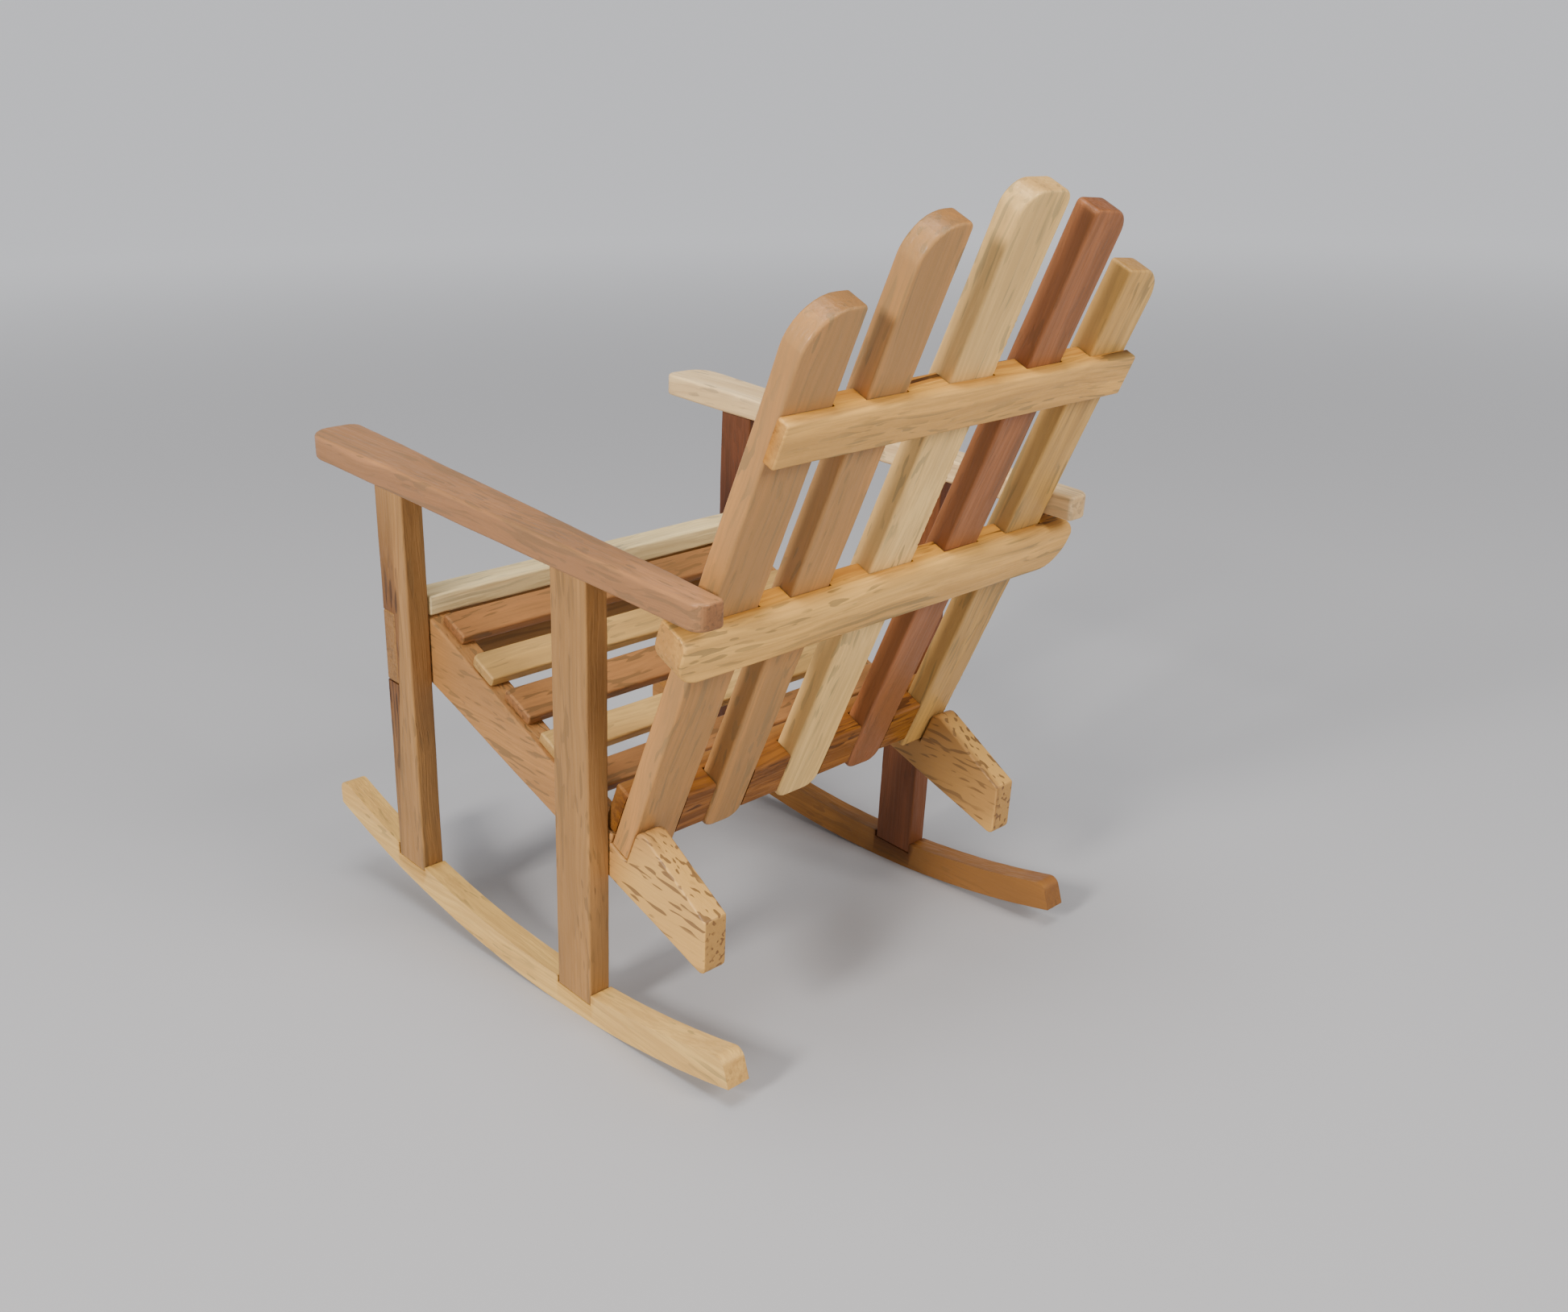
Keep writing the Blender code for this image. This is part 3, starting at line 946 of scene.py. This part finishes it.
@dataclass
class Arms:
    """The two flat arms, wide and rounded in front and narrow behind."""

    rest: RestPose
    bottom: float = 51.7
    top: float = 54.4
    ends: tuple[float, float] = (-10.0, 56.0)
    widths: tuple[float, float] = (6.5, 3.2)
    left: tuple[float, float] = (25.5, 26.4)
    right: tuple[float, float] = (-25.56, -25.25)

    def build(self) -> Iterator[bpy.types.Object]:
        """Build both arms.

        Yields:
            The finished objects.
        """
        for name, side, centres, wood, seed in (
            ("arm_left", 1, self.left, PINKISH, 41), ("arm_right", -1, self.right, BEIGE, 47),
        ):
            front, rear = (side * width / 2.0 for width in self.widths)
            corners = [
                Corner(centres[0] + front, self.ends[0], 3.2),
                Corner(centres[1] + rear, self.ends[1], 1.5),
                Corner(centres[1] - rear, self.ends[1], 0.6),
                Corner(centres[0] - front, self.ends[0], 1.3),
            ]
            strip = Strip.drawn(name, corners, self.top - self.bottom)
            strip.sand(0.36, 4).wear(1, seed, 0.06)
            lifted = Matrix.Translation((0.0, 0.0, (self.top + self.bottom) / 2.0))
            matrix = self.rest.chair() @ lifted
            stains_and_shade = []
            if side > 0:
                # The outer side of this arm is darker.
                outside = matrix @ Vector((centres[0] + front + 0.4, 22.0, -0.2))
                stains_and_shade.append(StainAndShade(outside, (1.8, 46.0, 2.3), "6E3C20", 0.5))
            yield strip.place(matrix, wood, Grain.Y, seed, stains_and_shade)


@dataclass
class SeatFront:
    """The apron let into the front posts, and the cap strip that lies on it."""

    rest: RestPose
    strip: Block = Block((-23.45, 1.8, 36.06), (23.45, 5.4, 38.4))

    def build(self) -> Iterator[bpy.types.Object]:
        """Build the apron and the strip.

        Yields:
            The finished objects.
        """
        for name, block, wood, seed in (
            ("front_apron", APRON, TAN, 53), ("front_seat_strip", self.strip, CREAM, 58),
        ):
            strip = Strip.sawn(name, block).sand(0.28).wear(0, seed)
            yield strip.place(self.rest.chair(), wood, Grain.X, seed)


@dataclass
class SeatRails:
    """The sloping seat rails, with a vee notch for the outer back slats and a tail behind."""

    rest: RestPose
    outer: float = 23.5
    inner: float = 20.6
    front: float = 2.43
    top: float = 36.0
    plane: float = 23.42
    floor: float = 22.28
    slat: float = 2.6

    def build(self) -> Iterator[bpy.types.Object]:
        """Build both rails.

        Yields:
            The finished objects.
        """
        lean = self.rest.lean
        flat_end = (self.plane - self.top * math.cos(lean)) / math.sin(lean)
        point = self.rest.leaning_point
        corners = [
            Corner(self.front, 28.57),
            Corner(self.front, self.top),
            Corner(self.rest.lean_station + flat_end, self.top),
            Corner(*point(-self.slat - GLUE, self.plane)),
            Corner(*point(-self.slat - GLUE, self.floor)),
            Corner(*point(GLUE, self.floor)),
            Corner(*point(GLUE, 27.3), 1.3),
            Corner(52.7, 19.44),
            Corner(52.7, 13.05, 1.0),
        ]
        for name, side, seed in (("seat_rail_left", 1, 61), ("seat_rail_right", -1, 67)):
            strip = Strip.drawn(name, corners, self.outer - self.inner)
            strip.sand(0.28).wear(0, seed)
            matrix = self.rest.sideways(side * (self.outer + self.inner) / 2.0)
            # The tails are paler than the rest of the rail.
            stains_and_shade = [StainAndShade(matrix @ Vector((50.0, 16.5, 0.0)), (5.0, 17.0, 13.0), "DCAC58", 0.9)]
            if side < 0:
                # Painted shade on the right rail's inner face, which lies in shadow.
                painted_shade_inner_face = matrix @ Vector((46.0, 19.0, 1.8))
                stains_and_shade.append(StainAndShade(painted_shade_inner_face, (1.5, 13.0, 9.0), "7A4E24", 0.7))
            yield strip.place(matrix, FLECKED, Grain.X, seed, stains_and_shade)


@dataclass(frozen=True)
class SeatSlat:
    """Sizes of one seat slat."""

    front: float
    rear: float
    half: float
    wood: Hardwood
    radius: float = 0.0


@dataclass
class SeatSlats:
    """The five thin slats of the seat."""

    rest: RestPose
    low: float = 23.47
    high: float = 24.77
    slats: tuple[SeatSlat, ...] = (
        SeatSlat(-37.1, -32.97, 22.6, ROSY),
        SeatSlat(-30.2, -26.0, 23.3, SALLOW, 0.9),
        SeatSlat(-24.15, -19.45, 22.9, ROSY),
        SeatSlat(-17.2, -13.3, 23.0, SALLOW),
        SeatSlat(-11.5, -7.9, 23.0, ROSY),
    )

    def build(self) -> Iterator[bpy.types.Object]:
        """Build the slats.

        Yields:
            The finished objects.
        """
        for number, slat in enumerate(self.slats, start=1):
            corners = [
                Corner(slat.half, slat.front, slat.radius),
                Corner(slat.half, slat.rear),
                Corner(-slat.half, slat.rear),
                Corner(-slat.half, slat.front, slat.radius),
            ]
            strip = Strip.drawn(f"seat_slat_{number}", corners, self.high - self.low)
            strip.sand(0.30).wear(0, 70 + number)
            lifted = Matrix.Translation((0.0, 0.0, (self.low + self.high) / 2.0))
            matrix = self.rest.leaning() @ lifted
            yield strip.place(matrix, slat.wood, Grain.X, 70 + 3 * number)


@dataclass(frozen=True)
class BackSlat:
    """Sizes of one back slat, left being the +X edge."""

    centre: float
    width: float
    tops: tuple[float, float]
    rounds: tuple[float, float]
    wood: Hardwood
    foot: float = 1.7
    torn: tuple[tuple[float, float], ...] = ()


@dataclass
class BackSlats:
    """The five long slats of the back."""

    rest: RestPose
    thick: float = 2.6
    bottom: float = 22.36
    slats: tuple[BackSlat, ...] = (
        BackSlat(20.45, 6.0, (85.5, 85.5), (4.5, 0.4), HONEY, 0.0),
        BackSlat(10.95, 5.2, (92.0, 92.0), (3.9, 0.6), HONEY),
        BackSlat(0.0, 6.2, (94.4, 94.2), (2.5, 1.2), PALE, torn=((56.0, 70.0), (77.0, 86.0))),
        BackSlat(-10.45, 5.2, (92.0, 91.6), (0.6, 2.0), RUSSET),
        BackSlat(-20.45, 5.8, (85.4, 84.8), (0.4, 2.8), STREAKED, 0.0, ((24.5, 33.0),)),
    )

    def build(self) -> Iterator[bpy.types.Object]:
        """Build the slats.

        Yields:
            The finished objects.
        """
        for number, slat in enumerate(self.slats, start=1):
            left = slat.centre + slat.width / 2.0
            right = slat.centre - slat.width / 2.0
            corners = [
                Corner(left, self.bottom, slat.foot),
                Corner(left, slat.tops[0], slat.rounds[0]),
                Corner(right, slat.tops[1], slat.rounds[1]),
                Corner(right, self.bottom, slat.foot),
            ]
            strip = Strip.drawn(f"back_slat_{number}", corners, self.thick)
            strip.sand(0.30, 4).wear(1, 80 + number, 0.06)
            for stretch in slat.torn:
                strip.fray(1, right, stretch, 80 + number)
            matrix = self.rest.upright(-self.thick / 2.0)
            stains_and_shade = []
            if number > 1:
                # Painted shadow on the left side of these slats, where the neighbouring slat on the
                # left casts its shadow.
                painted_shadow_centre = matrix @ Vector((left + 0.3, 52.0, 0.0))
                turn = tuple(matrix.to_3x3().normalized().to_euler())
                stains_and_shade.append(StainAndShade(painted_shadow_centre, (0.9, 37.0, 2.0), slat.wood.dark, 0.6, turn))
            yield strip.place(matrix, slat.wood, Grain.Y, 80 + 5 * number, stains_and_shade)


@dataclass
class BackRails:
    """The three rails that are dadoed over the back slats."""

    rest: RestPose
    slats: BackSlats
    lower: Block = Block((-23.3, -4.6, 23.5), (23.3, -0.1, 29.25))
    upper: Block = Block((-23.75, -1.9, 71.7), (23.75, 1.35, 76.15))
    arm: Block = Block((-27.5, -1.9, 49.05), (27.5, 1.98, 54.5))
    arm_corner: float = 3.4
    arm_edge: float = 1.1
    outer_dado: tuple[float, float] = (22.0, 30.0)

    def dadoes(self, rail: Block, depth: tuple[float, float]) -> list[Block]:
        """Return the cuts that house the slats in a rail, open at its ends but on the arm rail.

        Args:
            rail: The rail.
            depth: First and last D of the cuts.

        Returns:
            The boxes to cut.
        """
        spans = [(slat.centre - slat.width / 2.0 - GLUE, slat.centre + slat.width / 2.0 + GLUE)
                 for slat in self.slats.slats]
        if rail is not self.arm:
            first, last = self.outer_dado
            spans += [(first, last), (-last, -first)]
        return [Block((low, depth[0], rail.low[2] - PAST), (high, depth[1], rail.high[2] + PAST))
                for low, high in spans]

    def build(self) -> Iterator[bpy.types.Object]:
        """Build the rails.

        Yields:
            The finished objects.
        """
        behind = (-6.0, GLUE)
        before = (-self.slats.thick - GLUE, 3.0)
        for name, rail, sanding, depth, wood, seed in (
            ("lower_back_rail", self.lower, 0.34, before, TAWNY, 91),
            ("arm_back_rail", self.arm, 0.34, behind, AMBER, 97),
            ("upper_back_rail", self.upper, 0.30, behind, AMBER, 103),
        ):
            strip = Strip.sawn(name, rail)
            if rail is self.arm:
                strip.round_lines(1, {2: rail.low[2]}, self.arm_corner, 8)
                strip.round_lines(0, {1: rail.high[1], 2: rail.high[2]}, self.arm_edge, 6)
            strip.sand(sanding).cut(self.dadoes(rail, depth)).wear(0, seed)
            yield strip.place(self.rest.leaning(), wood, Grain.X, seed)


@dataclass
class Studio:
    """A plain pale floor, soft light, and the camera behind the chair's left side."""

    camera_place: tuple[float, float, float] = (0.10736, 0.12608, 0.09138)
    azimuth: float = 135.61
    elevation: float = 21.56
    roll: float = -0.62
    lens: float = 35.68
    shift: tuple[float, float] = (-0.0252, 0.0346)
    board: str = "B0B0B3"
    floor_radius: float = 1.0
    cove_radius: float = 0.9
    glow: float = 0.56

    def sheet(self, name: str, shape: bmesh.types.BMesh, glow: float) -> bpy.types.Object:
        """Turn a shape of the stage into a smooth matt sheet.

        Args:
            name: Name of the sheet.
            shape: Its mesh, in metres.
            glow: Light that it gives off itself.

        Returns:
            The sheet.
        """
        bmesh.ops.recalc_face_normals(shape, faces=shape.faces)
        for face in shape.faces:
            face.smooth = True
        sheet = add_object(name, as_mesh(name, shape))
        material = bpy.data.materials.new(f"matt_{name}")
        material.use_nodes = True
        shader = material.node_tree.nodes["Principled BSDF"]
        shader.inputs["Base Color"].default_value = linear(self.board)
        shader.inputs["Roughness"].default_value = 0.8
        shader.inputs["Emission Color"].default_value = linear("FAFBFF")
        shader.inputs["Emission Strength"].default_value = glow
        sheet.data.materials.append(material)
        return sheet

    def floor(self) -> None:
        """Lay a round floor of matt board, with a pale glowing wall all round it."""
        shape = bmesh.new()
        bmesh.ops.create_circle(shape, cap_ends=True, segments=96, radius=self.floor_radius)
        board = self.sheet("floor", shape, 0.0)
        self.brighten_rim(board.data.materials[0].node_tree)
        wall = bmesh.new()
        start = wall.verts.new((self.floor_radius, 0.0, 0.0))
        bmesh.ops.spin(
            wall, geom=[start], cent=(self.floor_radius, 0.0, self.cove_radius),
            axis=(0.0, -1.0, 0.0), angle=math.radians(80.0), steps=16, use_duplicate=False,
        )
        bmesh.ops.spin(
            wall, geom=[*wall.verts, *wall.edges], cent=(0.0, 0.0, 0.0),
            axis=(0.0, 0.0, 1.0), angle=math.tau, steps=96, use_duplicate=False, use_merge=True,
        )
        self.sheet("backdrop", wall, self.glow)

    def brighten_rim(self, tree: Tree) -> None:
        """Let the floor grow as bright as the wall towards its rim, so that no line shows.

        Args:
            tree: The floor's nodes.
        """
        where = add_node(tree, "ShaderNodeTexCoord")
        whole = add_node(tree, "ShaderNodeMapping", {
            "Vector": where.outputs["Object"],
            "Scale": (self.floor_radius, self.floor_radius, self.floor_radius),
        }, vector_type="TEXTURE")
        inwards = add_node(tree, "ShaderNodeTexGradient", {
            "Vector": whole.outputs[0],
        }, gradient_type="SPHERICAL")
        glow = add_node(tree, "ShaderNodeMapRange", {
            "Value": inwards.outputs["Fac"], "From Min": 0.0, "From Max": 0.92,
            "To Min": self.glow, "To Max": 0.0,
        }, interpolation_type="SMOOTHSTEP")
        shader = tree.nodes["Principled BSDF"]
        tree.links.new(glow.outputs["Result"], shader.inputs["Emission Strength"])

    def panel(
        self, name: str, azimuth: float, elevation: float, distance: float,
        size: float, power: float, colour: str,
    ) -> None:
        """Hang a square light that faces the chair.

        Args:
            name: Name of the light.
            azimuth: Direction of the light in degrees, 0 in front of the chair.
            elevation: Height of the light in degrees.
            distance: Distance from the chair in metres.
            size: Side of the light in metres.
            power: Power in watts.
            colour: Colour of the light.
        """
        back = bearing(azimuth, elevation)
        data = bpy.data.lights.new(name, "AREA")
        data.shape = "SQUARE"
        data.size = size
        data.energy = power
        data.color = linear(colour)[:3]
        lamp = add_object(name, data)
        lamp.location = Vector((0.0, 0.0, 0.04)) + back * distance
        lamp.rotation_mode = "QUATERNION"
        lamp.rotation_quaternion = (-back).to_track_quat("-Z", "Y")

    def light(self) -> None:
        """Light the chair from its left side and from above, with a weaker light behind."""
        self.panel("key", 98.0, 27.0, 0.60, 0.12, 3.5, "FFFAF4")
        self.panel("top", 120.0, 80.0, 0.60, 0.36, 3.1, "FFFFFF")
        self.panel("back", 186.0, 31.0, 0.60, 0.20, 2.3, "FFFBF6")
        world = bpy.data.worlds.new("pale_room")
        world.use_nodes = True
        sky = world.node_tree.nodes["Background"]
        sky.inputs["Color"].default_value = linear("E8EAEE")
        sky.inputs["Strength"].default_value = 0.12
        bpy.context.scene.world = world

    def camera(self) -> None:
        """Set up the camera."""
        roll = math.radians(self.roll)
        back = bearing(self.azimuth, self.elevation)
        right = (-back).cross(Vector((0.0, 0.0, 1.0))).normalized()
        up = right.cross(-back)
        across = right * math.cos(roll) + up * math.sin(roll)
        upwards = up * math.cos(roll) - right * math.sin(roll)
        data = bpy.data.cameras.new("camera")
        data.sensor_width = 36.0
        data.lens = self.lens
        data.shift_x, data.shift_y = self.shift
        data.clip_start, data.clip_end = 0.005, 20.0
        camera = add_object("camera", data)
        turned = Matrix((across, upwards, back)).transposed().to_4x4()
        camera.matrix_world = Matrix.Translation(self.camera_place) @ turned
        bpy.context.scene.camera = camera

    def build(self) -> None:
        """Set the stage."""
        self.floor()
        self.light()
        self.camera()


def compare_with_cad(pieces: Sequence[bpy.types.Object]) -> None:
    """Report how far each piece's box lies from its CAD node's box.

    Args:
        pieces: The finished pieces, each named for its node.
    """
    for piece in pieces:
        low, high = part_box(piece.name.removesuffix("_strip"))
        least, most = extent(vert.co for vert in piece.data.vertices)
        apart = max(*map(abs, least - low), *map(abs, most - high))
        LOG.info("%s lies %.2f mm from its node's box", piece.name, apart / MM)


def main() -> None:
    """Build the chair's looks in order."""
    logging.basicConfig(level=logging.INFO, format="%(name)s: %(message)s")
    # Vector noise starts from the clock unless it is given a seed.
    noise.seed_set(7)
    rest = RestPose()
    slats = BackSlats(rest)
    pieces: list[bpy.types.Object] = []
    for group in (
        Rockers(rest), Posts(rest), Arms(rest), SeatFront(rest), SeatRails(rest),
        SeatSlats(rest), slats, BackRails(rest, slats),
    ):
        pieces.extend(group.build())
        LOG.info("built %s", type(group).__name__)
    compare_with_cad(pieces)
    Studio().build()


if __name__ == "__main__":
    main()
